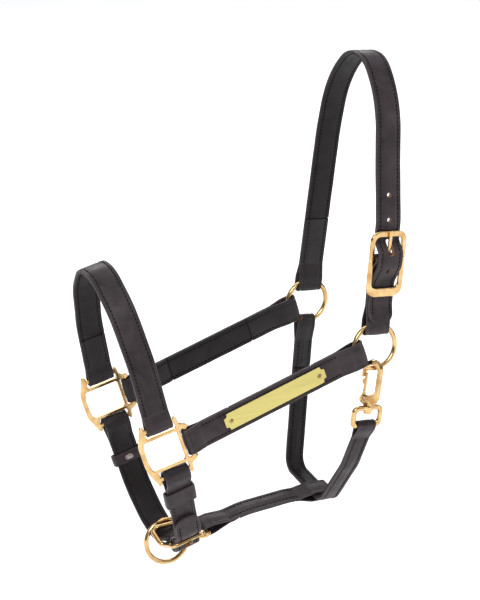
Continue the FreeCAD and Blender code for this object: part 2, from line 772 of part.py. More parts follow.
def loop_frame():
    share = (CHIN_CROSSING - CHIN_FOOT[0]) / (CHIN_BOTTOM[0] - CHIN_FOOT[0])
    height = between(CHIN_FOOT, CHIN_BOTTOM, share)[1]
    turn = Rotation(Vector(0, 0, 1), LOOP_YAW).multiply(Rotation(Vector(1, 0, 0), LOOP_TILT))
    middle = CHIN.multVec(Vector(0, CHIN_CROSSING, height)) + turn.multVec(Vector(LOOP_SHIFT, 0, 0))
    return Placement(middle, turn)


def chin_loop():
    """Oblong wire loop that joins the jaw strap to the chin strap."""
    long = size("loop_length") / 2
    wide = size("loop_width") / 2
    body = add_body("chin_loop", loop_frame())
    spine = add_sketch(body, "XY_Plane", [loop_curves([(0, wide), (-long, wide, 7.5), (-long, -wide, 7.5),
                                                       (long, -wide, 7.5), (long, wide, 7.5)])])
    section = add_sketch(body, "YZ_Plane", [circle_curve(wide, 0, WIRE)])
    pipe = body.newObject("PartDesign::AdditivePipe", "wire")
    pipe.Spine = (spine, [])
    pipe.Profile = section
    doc.recompute()
    keep(body)


def chin_ring_place():
    """The ring hangs on the top face of the chin strap, in the chin frame."""
    drop = 13.4
    return Vector(0, RING_CROSSING, -104.9 - drop)


def chin_ring():
    turn = CHIN.Rotation.multiply(Rotation(Vector(1, 0, 0), -8.0))
    ring("chin_ring", CHIN.multVec(chin_ring_place()), turn)


# ---------------------------------------------------------------- throatlatch and snap

SNAP_TILT = 4.0
HOOK_TURN = 120.0
LOOP_BAR = -59.6


def snap_frame():
    """Snap: Z up its length, the origin in the middle of the ring wire it hangs on."""
    lean = math.radians(size("near_lean"))
    seat = Vector(0, -SPAN - RING * math.sin(lean), -RING * math.cos(lean))
    return REAR.multiply(Placement(seat, Rotation(Vector(1, 0, 0), SNAP_TILT)))


SNAP = snap_frame()
THROAT_BOTTOM = [(64.5, -175.0, 15.0), (-9.0, -182.6, 18.0)]
THROAT_RISE = (-46.0, -130.0, 70.0)
JAW_CROSSING = 12.5
JAW_TILT = 13.0


def cheek_notch():
    """Room for the lower edge of the off cheek strap inside the cheek ring."""
    wire = ring_front(OFF_RING)
    room = 0.5
    box = doc.addObject("Part::Box", "notch")
    box.Length = 9.0 + RING_DEPTH + PLY + room
    box.Width = 24.0
    box.Height = size("strap_width")
    corner = Vector(wire[0] - 9.0, wire[1] - 12.0, -size("strap_width") / 2 - room)
    box.Placement = OFF_CHEEK.multiply(Placement(corner, Rotation()))
    return box


def throatlatch():
    off_bar = (SPAN, -RING)
    bar = REAR.inverse().multVec(SNAP.multVec(Vector(0, 0, LOOP_BAR)))
    near_bar = (bar.y, bar.z)
    off_fold = fold(off_bar, THROAT_BOTTOM[0], RING_GAP, 5.6, 48.0)
    gap = WIRE / 2 + CLEAR + 0.3
    near_fold = fold(near_bar, THROAT_RISE, gap, gap, 42.0, side=-1)
    run = THROAT_BOTTOM + [THROAT_RISE]
    width = "Sizes.throat_width"
    strap = strip("throatlatch_strap", REAR, "YZ_Plane", off_fold + run + near_fold[::-1], 0, width)
    keep(cut_from("throatlatch_strap", strap, [cheek_notch()]))
    top = at_height(off_fold[-1], run[0], -RING - 48.0 - LINING_GAP)
    span = math.hypot(near_bar[0] - THROAT_RISE[0], near_bar[1] - THROAT_RISE[1])
    end = between(near_bar, THROAT_RISE, (42.0 + LINING_GAP) / span)
    keep(strip("throatlatch_lining", REAR, "YZ_Plane", [top] + run + [end], -1, width))


def jaw_strap():
    """Flat strap from the chin loop to the throatlatch, folded round each."""
    loop = loop_frame()
    start = loop.multVec(Vector(size("loop_length") / 2, 0, 0))
    share = (JAW_CROSSING - THROAT_BOTTOM[0][0]) / (THROAT_BOTTOM[1][0] - THROAT_BOTTOM[0][0])
    height = between(THROAT_BOTTOM[0], THROAT_BOTTOM[1], share)[1]
    end = REAR.multVec(Vector(0, JAW_CROSSING, height))
    run = end - start
    turn = Rotation(Vector(0, 0, 1), math.degrees(math.atan2(run.y, run.x)))
    frame = Placement(start, turn.multiply(Rotation(Vector(1, 0, 0), JAW_TILT)))
    finish = frame.inverse().multVec(end)
    crossing = (finish.x, finish.z)
    arch = [(42.0, 9.0, 80.0), (finish.x - 38.0, finish.z + 3.6, 30.0)]
    front = fold((0, 0), arch[0], WIRE / 2 + CLEAR + 1.6, 6.4, 33.0, side=1)
    rear = fold(crossing, arch[-1], 3.8, 12.8, 31.0, side=-1, reach=11.8)
    width = "Sizes.throat_width"
    keep(strip("jaw_strap", frame, "XZ_Plane", front + [arch[0], arch[1]] + rear[::-1], 0, width))
    span = math.hypot(arch[0][0], arch[0][1])
    foot = between((0, 0), arch[0], (33.0 + LINING_GAP) / span)
    heel = between(crossing, arch[1], (31.0 + LINING_GAP) / math.hypot(38.0, 3.6))
    keep(strip("jaw_strap_lining", frame, "XZ_Plane", [foot] + arch + [heel], -1, width))


def snap():
    """Swivel snap: hook with a spring gate, on a swivel loop that holds the throatlatch."""
    frame = SNAP.multiply(Placement(Vector(), Rotation(Vector(0, 0, 1), HOOK_TURN)))
    thick = size("hook_thickness")
    pin_x, pin_z = 6.2, -33.0
    outline = [(-5.0, -38.7, 1.5), (-9.8, -31.0, 5.0), (-9.9, 7.9, 9.8), (9.9, 7.9, 9.8), (9.9, -11.0, 0.9),
               (7.5, -11.0, 0.6), (7.5, -6.2, 0.5), (6.1, -5.2, 0.6), (6.1, 3.9, 6.0), (-6.1, 3.9, 6.0),
               (-6.1, -24.0, 4.0), (2.4, -30.0, 3.0), (9.2, -30.2, 2.2), (9.2, -36.0, 2.5), (4.6, -38.7, 1.5)]
    body = add_body("snap_hook", frame)
    loops = [loop_curves(outline), circle_curve(pin_x, pin_z, 2.3)]
    add_pad(body, add_sketch(body, "XZ_Plane", loops), "Sizes.hook_thickness")
    fork = loop_curves([(3.2, -28.0), (12.0, -28.0), (12.0, -36.4), (3.2, -36.4)])
    add_pocket(body, add_sketch(body, "XZ_Plane", [fork]), 2.7, both=True)
    for size_across, top, bottom in ((4.4, -38.0, -44.6), (7.6, -44.4, -46.8)):
        stem = add_sketch(body, "XY_Plane", [circle_curve(0, 0, size_across)], lift=bottom)
        add_pad(body, stem, top - bottom, one_side=True)
    keep(body)

    gate = add_body("snap_gate", frame)
    lever = [(4.0, -30.0, 3.0), (5.1, -26.0, 4.0), (5.1, -7.2, 0.6), (7.0, -7.2, 0.6), (7.0, -12.8, 0.8),
             (9.4, -14.2, 0.8), (9.4, -17.4, 0.8), (7.0, -19.0, 0.8), (7.4, -27.0, 4.0), (8.4, -31.0, 3.0),
             (8.4, -35.2, 2.1), (4.0, -35.2, 2.1)]
    loops = [loop_curves(lever), circle_curve(pin_x, pin_z, 2.5)]
    add_pad(gate, add_sketch(gate, "XZ_Plane", loops), 2.1)
    keep(gate)

    pin = add_body("snap_gate_pin", frame)
    add_pad(pin, add_sketch(pin, "XZ_Plane", [circle_curve(pin_x, pin_z, 2.2)]), thick + 0.5)
    keep(pin)

    loop = add_body("snap_swivel_loop", SNAP)
    outer = loop_curves(rectangle(33.0, 22.8, 6.5, 0, -50.6))
    inner = loop_curves(rectangle(24.0, 13.3, 3.5, 0, -50.4))
    pad = add_pad(loop, add_sketch(loop, "XZ_Plane", [outer, inner]), "Sizes.wire")
    round_edges(loop, pad, face_rims(pad), 1.9)
    collar = add_sketch(loop, "XY_Plane", [circle_curve(0, 0, 9.6)], lift=-43.9)
    add_pad(loop, collar, 4.7, one_side=True)
    bore = add_sketch(loop, "XY_Plane", [circle_curve(0, 0, 5.0)], lift=-60.0 + 22.0)
    add_pocket(loop, bore, 8)
    keep(loop)


def build():
    crown()
    crown_tab()
    crown_buckle()
    cheek_rings()
    squares()
    cheeks()
    name_plate()
    noseband()
    chin_strap()
    chin_tab()
    chin_buckle()
    chin_bands()
    chin_loop()
    chin_ring()
    throatlatch()
    jaw_strap()
    snap()


def write_parts():
    doc.recompute()
    for item in doc.Objects:
        if "Invalid" in item.State or "Error" in item.State:
            raise RuntimeError("%s failed: %s" % (item.Label, item.State))
    os.makedirs("parts", exist_ok=True)
    for part in PARTS:
        shape = part.Shape
        if shape.isNull() or not shape.isValid():
            raise RuntimeError("bad shape: " + part.Label)
        shape.exportStep("parts/%s.step" % part.Label)
        print("%-24s %2d solid %9.0f mm3" % (part.Label, len(shape.Solids), shape.Volume))


build()
write_parts()
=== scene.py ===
import math
import random

import bmesh
import bpy
from mathutils import Matrix, Vector, noise


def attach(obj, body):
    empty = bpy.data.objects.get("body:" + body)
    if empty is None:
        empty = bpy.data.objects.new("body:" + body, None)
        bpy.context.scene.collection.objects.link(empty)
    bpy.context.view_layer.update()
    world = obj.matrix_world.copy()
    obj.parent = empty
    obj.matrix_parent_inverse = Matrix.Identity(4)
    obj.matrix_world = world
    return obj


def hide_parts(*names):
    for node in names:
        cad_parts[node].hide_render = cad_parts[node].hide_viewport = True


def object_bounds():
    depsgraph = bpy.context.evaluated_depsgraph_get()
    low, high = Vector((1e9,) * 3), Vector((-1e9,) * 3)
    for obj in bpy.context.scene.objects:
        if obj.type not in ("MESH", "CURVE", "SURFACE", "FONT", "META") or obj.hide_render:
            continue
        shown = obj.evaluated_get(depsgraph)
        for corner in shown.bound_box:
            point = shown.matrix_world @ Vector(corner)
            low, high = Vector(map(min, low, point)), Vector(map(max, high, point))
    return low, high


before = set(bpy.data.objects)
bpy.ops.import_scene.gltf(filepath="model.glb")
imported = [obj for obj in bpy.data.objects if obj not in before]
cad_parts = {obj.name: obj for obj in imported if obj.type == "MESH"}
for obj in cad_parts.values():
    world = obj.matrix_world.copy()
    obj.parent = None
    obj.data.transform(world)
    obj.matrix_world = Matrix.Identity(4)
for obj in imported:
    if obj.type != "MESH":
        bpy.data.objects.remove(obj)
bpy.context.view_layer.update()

# A leather headcollar: the brass castings come from the frame, and the leather is built here as
# stitched two-layer straps on the same lines. Straps, holes and thread are in millimetres, and MM
# turns their points into metres. The shaders and the studio are in metres.

MM = 0.001
rng = random.Random(7)

# leather
PLY = 2.0                # one layer, two are stitched together
STACK = 2 * PLY
STRAP = 25.4             # width of the crown, noseband, cheeks and chin
NARROW = 19.0            # width of the throatlatch and jaw strap
LAP = 46.0               # sewn lap behind a fold, from the bar to its cut end
LINING_GAP = 0.8         # from a lap's cut end to the lining
# brass
WIRE = 4.7               # rings, chin loop and swivel loop
RING = 21.4              # radius to the middle of the wire
CAST = 3.5               # thickness of the cast squares
BAR_WIDTH = 3.6          # buckle bar
CLEAR = 0.35             # between leather and brass
# where the fittings lie
CROWN_RISE = 266.0       # underside of the crown above the line through the cheek rings
REAR_LEAN = 5.2          # crown and throatlatch lean back
CHEEK_RUN = 217.0        # cheek ring behind the halter square
CHEEK_DROP = 66.0        # halter square below the cheek ring
SPAN = 70.0              # cheek rings and squares from the middle plane
NEAR_LEAN = 6.0          # the near cheek follows the jaw, top inwards
SQUARE_LEAN = 17.5       # noseband and chin lean forward at the squares
SQUARE_YAW = 9.0         # the squares hang turned to the front of the near side
NOSE_LEAN = 12.5
CHIN_LEAN = 15.0
BAR_OFFSET = 25.0        # strap bar above and below the middle of a square
REAR_BAR_OFFSET = 22.3


# ---------------------------------------------------------------- places

def turned(axis, degrees):
    return Matrix.Rotation(math.radians(degrees), 4, axis)


def placed(spot, turn=Matrix.Identity(4)):
    return Matrix.Translation(Vector(spot)) @ turn


def at(place, *spot):
    return place @ Vector(spot)


# Crown and throatlatch: origin midway between the cheek rings, Z up the lean.
REAR_TURN = turned("Y", REAR_LEAN)
REAR = placed(REAR_TURN @ Vector((0, 0, -CROWN_RISE)), REAR_TURN)
FRONT = REAR.translation - Vector((CHEEK_RUN, 0, CHEEK_DROP))


def square_frame(side):
    """A halter square: X along its strap bars, Z up the noseband, Y through the casting."""
    turn = turned("Y", -SQUARE_LEAN) @ turned("Z", -SQUARE_YAW)
    if side < 0:
        turn = turn @ turned("X", -NEAR_LEAN)
    return placed(FRONT + Vector((0, side * SPAN, 0)), turn)


NEAR_SQUARE = square_frame(-1)
OFF_SQUARE = square_frame(1)
BAR_ALONG = NEAR_SQUARE.to_3x3() @ Vector((1, 0, 0))


def bar_frame(height, lean):
    """Frame of a strap that joins the two squares, and their bars in it."""
    near = at(NEAR_SQUARE, 0, 0, height)
    off = at(OFF_SQUARE, 0, 0, height)
    middle = (near + off) / 2
    place = placed((middle.x, 0, middle.z), turned("Y", -lean))
    return place, place.inverted() @ near, place.inverted() @ off


NOSE, NOSE_NEAR, NOSE_OFF = bar_frame(BAR_OFFSET, NOSE_LEAN)
CHIN, CHIN_NEAR, CHIN_OFF = bar_frame(-BAR_OFFSET, CHIN_LEAN)


def cheek_frame(side):
    """Frame of a cheek strap, X from the square's rear bar to the cheek ring, and the ring in it."""
    start = at(NEAR_SQUARE if side < 0 else OFF_SQUARE, REAR_BAR_OFFSET, 0, 0)
    ring = REAR.translation + Vector((0, side * SPAN, 0))
    rise = math.degrees(math.atan2(ring.z - start.z, ring.x - start.x))
    turn = turned("Y", -rise)
    if side < 0:
        turn = turn @ turned("X", -NEAR_LEAN)
    place = placed(start, turn)
    return place, place.inverted() @ ring


NEAR_CHEEK, NEAR_RING = cheek_frame(-1)
OFF_CHEEK, OFF_RING = cheek_frame(1)


# ---------------------------------------------------------------- paths

def left_of(direction):
    return Vector((-direction.y, direction.x))


def flat(vector):
    return (vector.x, vector.y)


def between(start, end, share):
    return (start[0] + (end[0] - start[0]) * share, start[1] + (end[1] - start[1]) * share)


def at_height(start, end, height):
    return between(start, end, (height - start[1]) / (end[1] - start[1]))


def fold(bar, towards, half_gap, depth, lap, side=1, reach=None, taper=4.0):
    """A strap turned round a bar, from the end of its lap to the start of its sewn run."""
    away = Vector((towards[0] - bar[0], towards[1] - bar[1])).normalized()
    across = left_of(away) * side
    glue_line = 0.15    # from the lap to the strap it is sewn to
    tight = half_gap - 0.05
    reach = reach or half_gap + 0.6
    blend = reach + taper * half_gap

    def place(along, out, *radius):
        return flat(Vector(bar[:2]) + away * along + across * out) + radius

    return [place(lap, -glue_line), place(blend, -glue_line, 9.0), place(reach, -half_gap, 6.0),
            place(-depth, -half_gap, tight), place(-depth, half_gap, tight),
            place(reach, half_gap, 6.0), place(blend, 0, 9.0)]


def rectangle(width, height, radius, x=0.0, y=0.0):
    """Corner points of a rounded rectangle about x, y."""
    return [(x - width / 2, y - height / 2, radius), (x + width / 2, y - height / 2, radius),
            (x + width / 2, y + height / 2, radius), (x - width / 2, y + height / 2, radius)]


class Line:
    """Runs joined by tangent arcs, with the place and the left-hand normal at each length."""

    def __init__(self, points, closed=False, step=2.2):
        spots = [Vector(point[:2]) for point in points]
        count = len(points)
        corners = []
        for index in range(count):
            radius = points[index][2] if len(points[index]) > 2 else 0.0
            if radius <= 0 or not (closed or 0 < index < count - 1):
                corners.append((spots[index], 0.0, 0.0, spots[index]))
                continue
            before = (spots[index] - spots[index - 1]).normalized()
            after = (spots[(index + 1) % count] - spots[index]).normalized()
            turn = math.atan2(before.x * after.y - before.y * after.x, before.dot(after))
            reach = radius * math.tan(abs(turn) / 2)
            corners.append((spots[index] - before * reach, turn, radius, spots[index] + after * reach))
        self.spots, self.normals, self.bends = [], [], []
        for index, (entry, turn, radius, leave) in enumerate(corners):
            if index or closed:
                start = corners[index - 1][3]
                run = entry - start
                if run.length > 1e-4:
                    normal = left_of(run.normalized())
                    pieces = max(1, round(run.length / step))
                    for number in range(pieces + 1):
                        self.add(start + run * (number / pieces), normal, 0.0)
            if abs(turn) > 1e-5:
                side = 1 if turn > 0 else -1
                heading = (spots[index] - entry).normalized()
                centre = entry + left_of(heading) * (side * radius)
                pieces = max(2, math.ceil(abs(turn) / math.radians(8)), math.ceil(radius * abs(turn) / step))
                arm = entry - centre
                for number in range(pieces + 1):
                    angle = turn * number / pieces
                    cos, sin = math.cos(angle), math.sin(angle)
                    swung = Vector((arm.x * cos - arm.y * sin, arm.x * sin + arm.y * cos))
                    self.add(centre + swung, -swung.normalized() * side, 1.0 / radius)
        self.lengths = [0.0]
        for start, end in zip(self.spots, self.spots[1:]):
            self.lengths.append(self.lengths[-1] + (end - start).length)
        self.total = self.lengths[-1]

    def add(self, spot, normal, bend):
        """Keeps a spot unless it repeats the last one."""
        if not self.spots or (spot - self.spots[-1]).length > 0.02:
            self.spots.append(spot)
            self.normals.append(normal)
            self.bends.append(bend)

    def find(self, length):
        """Spot, left-hand normal and curvature at a length."""
        length = min(max(length, 0.0), self.total)
        low, high = 0, len(self.lengths) - 1
        while high - low > 1:
            middle = (low + high) // 2
            if self.lengths[middle] <= length:
                low = middle
            else:
                high = middle
        span = self.lengths[high] - self.lengths[low]
        share = (length - self.lengths[low]) / span if span > 1e-9 else 0.0
        spot = self.spots[low].lerp(self.spots[high], share)
        normal = self.normals[low].lerp(self.normals[high], share).normalized()
        bend = self.bends[low] + (self.bends[high] - self.bends[low]) * share
        return spot, normal, bend

    def nearest(self, place):
        """Length of the spot that lies nearest to a place."""
        place = Vector(place[:2])
        gaps = [(spot - place).length for spot in self.spots]
        return self.lengths[gaps.index(min(gaps))]


# How each plane's two coordinates become three, and the direction straight across it.
PLANES = {
    "YZ": (lambda u, v: Vector((0, u, v)), Vector((1, 0, 0))),
    "XZ": (lambda u, v: Vector((u, 0, v)), Vector((0, 1, 0))),
    "XY": (lambda u, v: Vector((u, v, 0)), Vector((0, 0, 1))),
}


# ---------------------------------------------------------------- node materials

class Shader:
    """A material with its Principled shader and short ways to add nodes."""

    def __init__(self, name, **values):
        self.material = bpy.data.materials.new(name)
        self.material.use_nodes = True
        self.tree = self.material.node_tree
        self.main = self.tree.nodes["Principled BSDF"]
        for key, value in values.items():
            self.main.inputs[key.replace("_", " ")].default_value = value

    def node(self, kind, **settings):
        made = self.tree.nodes.new(kind)
        for key, value in settings.items():
            if key in made.inputs:
                made.inputs[key].default_value = value
            else:
                setattr(made, key, value)
        return made

    def link(self, source, target):
        self.tree.links.new(source, target)

    def place(self, scale=(1, 1, 1), attribute=None):
        if attribute:
            source = self.node("ShaderNodeAttribute", attribute_name=attribute).outputs["Vector"]
        else:
            source = self.node("ShaderNodeTexCoord").outputs["Object"]
        mapping = self.node("ShaderNodeMapping")
        mapping.inputs["Scale"].default_value = scale
        self.link(source, mapping.inputs["Vector"])
        return mapping.outputs["Vector"]

    def noise(self, scale, detail=4.0, roughness=0.6, vector=None, distortion=0.0):
        made = self.node("ShaderNodeTexNoise", Scale=scale, Detail=detail, Roughness=roughness,
                         Distortion=distortion)
        self.link(vector or self.place(), made.inputs["Vector"])
        return made.outputs["Fac"]

    def cells(self, scale):
        made = self.node("ShaderNodeTexVoronoi", feature="DISTANCE_TO_EDGE", Scale=scale)
        self.link(self.place(), made.inputs["Vector"])
        return made.outputs["Distance"]

    def ramp(self, source, *stops):
        made = self.node("ShaderNodeValToRGB")
        elements = made.color_ramp.elements
        while len(elements) < len(stops):
            elements.new(0.5)
        for element, (position, colour) in zip(elements, stops):
            element.position = position
            element.color = tuple(colour) + (1.0,)
        self.link(source, made.inputs["Fac"])
        return made.outputs["Color"]

    def range(self, source, low, high, start=0.3, stop=0.7):
        """The source's start to stop becomes low to high."""
        made = self.node("ShaderNodeMapRange")
        for key, value in (("From Min", start), ("From Max", stop), ("To Min", low), ("To Max", high)):
            made.inputs[key].default_value = value
        self.link(source, made.inputs["Value"])
        return made.outputs["Result"]

    def mix(self, share, first, second):
        made = self.node("ShaderNodeMix", data_type="RGBA")
        for value, socket in ((share, made.inputs[0]), (first, made.inputs[6]), (second, made.inputs[7])):
            if hasattr(value, "is_linked"):
                self.link(value, socket)
            elif isinstance(value, tuple):
                socket.default_value = value + (1.0,)
            else:
                socket.default_value = value
        return made.outputs[2]

    def attribute(self, name):
        return self.node("ShaderNodeAttribute", attribute_name=name).outputs["Fac"]

    def bump(self, height, distance, strength=1.0, under=None):
        made = self.node("ShaderNodeBump", Strength=strength, Distance=distance)
        self.link(height, made.inputs["Height"])
        if under:
            self.link(under, made.inputs["Normal"])
        return made.outputs["Normal"]

    def colour(self, socket):
        self.link(socket, self.main.inputs["Base Color"])

    def rough(self, socket):
        self.link(socket, self.main.inputs["Roughness"])

    def normal(self, socket):
        self.link(socket, self.main.inputs["Normal"])


def leather_shader(name, dark, light, rim, low, high, grain, shine):
    """Mottled, scuffed strap leather, lighter where bent, with a painted highlight on its edges and painted
    shade on its laps.

    The strap's mesh says where: rim is 1 at an edge, bend grows in a turn, under is 1 on a lap,
    and lie holds millimetres along and across the strap.
    """
    made = Shader(name, Specular_IOR_Level=shine, Coat_Weight=0.1 * shine, Coat_Roughness=0.3)
    painted_lap_shade = (0.004, 0.0028, 0.0028)
    mottle = made.noise(38.0, 5.0, 0.65, distortion=0.6)
    colour = made.ramp(mottle, (0.32, dark), (0.68, light))
    scuffs = made.noise(210.0, 6.0, 0.75, made.place((1, 1, 0.35)))
    colour = made.mix(made.range(scuffs, 0.0, 0.22, 0.56, 0.78), colour, rim)
    # Painted highlight: the edges and cut ends are lightened towards the rim colour, which the scuffs also
    # use.
    with_edge_highlight = made.mix(made.range(made.attribute("rim"), 0.0, 0.7, 0.15, 1.0), colour, rim)
    turned_face = made.mix(made.range(made.attribute("bend"), 0.0, 0.25, 0.0, 1.0), with_edge_highlight, rim)
    # Painted shade: the laps turned behind each fold are darkened nearly to black.
    made.colour(made.mix(made.range(made.attribute("under"), 0.0, 0.72, 0.0, 1.0), turned_face, painted_lap_shade))
    made.rough(made.range(made.noise(95.0, 5.0), low, high))
    normal = made.bump(made.cells(1500.0), 0.00006, grain)
    creases = made.noise(0.62, 4.0, 0.6, made.place((1.0, 0.16, 1.0), "lie"), distortion=0.8)
    normal = made.bump(creases, 0.0008, 0.34 * grain, normal)
    made.normal(made.bump(made.noise(55.0, 3.0), 0.0016, 0.34, normal))
    return made.material


# The third colour lightens the scuffs and bends, and paints a highlight on the edges.
LEATHER = leather_shader("strap_leather", (0.013, 0.0086, 0.0094), (0.043, 0.031, 0.035),
                         (0.075, 0.055, 0.060), 0.33, 0.55, 0.7, 0.27)
# Painted shade: the lining is a darker copy of the strap leather, used on the inner faces.
SHADED_LINING = leather_shader("lining_leather", (0.0055, 0.0036, 0.0038), (0.014, 0.0096, 0.010),
                        (0.034, 0.024, 0.024), 0.42, 0.6, 1.0, 0.22)


def raw_shader():
    """The cut wall of a punched hole."""
    made = Shader("raw_leather", Roughness=0.85)
    made.colour(made.ramp(made.noise(900.0, 4.0), (0.35, (0.16, 0.065, 0.03)), (0.65, (0.42, 0.2, 0.1))))
    made.normal(made.bump(made.noise(2600.0, 3.0), 0.0001, 0.7))
    return made.material


def thread_shader():
    made = Shader("thread", Specular_IOR_Level=0.12)
    twist = made.noise(1500.0, 3.0, 0.6, made.place((1, 1, 2.2)))
    made.colour(made.ramp(twist, (0.35, (0.0015, 0.0012, 0.0015)), (0.7, (0.006, 0.005, 0.0055))))
    made.rough(made.range(twist, 0.6, 0.85))
    made.normal(made.bump(twist, 0.0001, 0.6))
    return made.material


def brass_shader(name, deep, body, low, high):
    """Cast brass between two tones, with a roughness from low to high."""
    made = Shader(name, Metallic=1.0)
    cloud = made.noise(85.0, 4.0, 0.55)
    spots = made.noise(700.0, 5.0, 0.7)
    tone = made.ramp(cloud, (0.3, deep), (0.7, body))
    made.colour(made.mix(made.range(spots, 0.0, 0.3, 0.55, 0.8), tone, deep))
    made.rough(made.range(made.noise(240.0, 5.0, 0.7), low, high))
    swirl = made.bump(made.noise(120.0, 3.0), 0.0005, 0.12)
    made.normal(made.bump(made.noise(1300.0, 4.0), 0.00005, 0.25, swirl))
    return made.material


BRASS = brass_shader("brass", (0.52, 0.29, 0.105), (0.82, 0.59, 0.29), 0.07, 0.17)
AGED = brass_shader("aged_brass", (0.26, 0.16, 0.05), (0.50, 0.36, 0.13), 0.22, 0.4)


def plate_shader():
    """Brass brushed along X, roughly the length of the plate."""
    made = Shader("plate_brass", Metallic=1.0, Anisotropic=0.45)
    lines = made.noise(300.0, 3.0, 0.7, made.place((0.06, 1.0, 4.0)))
    made.colour(made.ramp(lines, (0.3, (0.62, 0.53, 0.17)), (0.7, (0.72, 0.63, 0.24))))
    made.rough(made.range(lines, 0.30, 0.42))
    made.normal(made.bump(lines, 0.00006, 0.35))
    return made.material


def stud_shader():
    made = Shader("stud_metal", Metallic=0.9)
    cloud = made.noise(420.0, 5.0, 0.7)
    made.colour(made.ramp(cloud, (0.35, (0.20, 0.13, 0.11)), (0.65, (0.55, 0.48, 0.45))))
    made.rough(made.range(cloud, 0.25, 0.5))
    made.normal(made.bump(cloud, 0.0002, 0.4))
    return made.material


RAW = raw_shader()
THREAD = thread_shader()


# ---------------------------------------------------------------- leather straps

# One side of a strap's section, from its middle to its edge: distance from the edge and height.
DOMED = [(12.7, 2.16), (9.4, 2.14), (7.0, 2.07), (5.2, 1.96), (4.6, 1.88), (4.1, 1.72), (3.6, 1.66),
         (3.1, 1.73), (2.6, 1.92), (2.2, 1.96), (1.75, 1.82), (1.4, 1.8), (1.1, 1.93), (0.75, 1.93),
         (0.35, 1.76), (0.1, 1.46), (0.0, 1.1), (0.0, 0.5), (0.12, 0.16), (0.4, 0.0), (6.0, 0.0)]
PLAIN = [(12.7, 2.03), (6.0, 2.02), (3.4, 1.99), (2.5, 1.95), (2.05, 1.78), (1.65, 1.78), (1.2, 1.94),
         (0.75, 1.93), (0.35, 1.76), (0.1, 1.46), (0.0, 1.1), (0.0, 0.5), (0.12, 0.16), (0.4, 0.0),
         (6.0, 0.0)]
BAND = [(12.7, 2.0), (2.6, 1.97), (2.1, 1.8), (1.7, 1.8), (1.2, 1.93), (0.7, 1.92), (0.3, 1.72),
        (0.05, 1.35), (0.0, 1.0), (0.0, 0.5), (0.12, 0.16), (0.4, 0.0)]
ROUNDED_END = 0.55       # length over which a cut end's edge is rounded


def section(width, profile):
    """Closed outline (across, height, rim) of a strap, from the left edge round to the right."""
    half = width / 2
    side = []
    for gap, height in profile:
        across = half - gap if gap < half else 0.0
        rim = max(0.0, 1.0 - gap) if height > 0.3 else 0.4
        side.append((across, height, rim))
    ring = side + [(-across, height, rim) for across, height, rim in reversed(side)]
    tidy = []
    for point in ring:
        if not tidy or abs(point[0] - tidy[-1][0]) + abs(point[1] - tidy[-1][1]) > 1e-4:
            tidy.append(point)
    if abs(tidy[0][0] - tidy[-1][0]) + abs(tidy[0][1] - tidy[-1][1]) < 1e-4:
        tidy.pop()
    return tidy


def link(name, mesh, body, node=None):
    """Adds a finished mesh to the scene on a body, in place of a CAD node."""
    made = bpy.data.objects.new(name, mesh)
    bpy.context.scene.collection.objects.link(made)
    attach(made, body)
    if node:
        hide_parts(node)


def ring_lengths(line, closed, tip, skive):
    """Lengths along a line at which a strap's section is set, in order and not too close."""
    rings = set(line.lengths[:-1] if closed else line.lengths)
    if not closed:
        rings.update((0.2, ROUNDED_END, line.total - 0.2, line.total - ROUNDED_END))
    if tip:
        rings.update(tip * (1 - math.cos(math.radians(9 * number))) for number in range(11))
    if skive:
        rings.update(skive * number / 5 for number in range(6))
    kept = []
    for length in sorted(rings):
        if not kept or length - kept[-1] > 0.12:
            kept.append(length)
    return kept


def tube_faces(loops, count, closed=False, first=0):
    """Faces between loops of count points, and over both ends unless the tube closes on itself."""
    faces = []
    for row in range(loops if closed else loops - 1):
        low = first + row * count
        high = first + (row + 1) % loops * count
        for column in range(count):
            step = (column + 1) % count
            faces.append((low + column, low + step, high + step, high + column))
    if not closed:
        faces.append(tuple(reversed(range(first, first + count))))
        faces.append(tuple(range(first + (loops - 1) * count, first + loops * count)))
    return faces


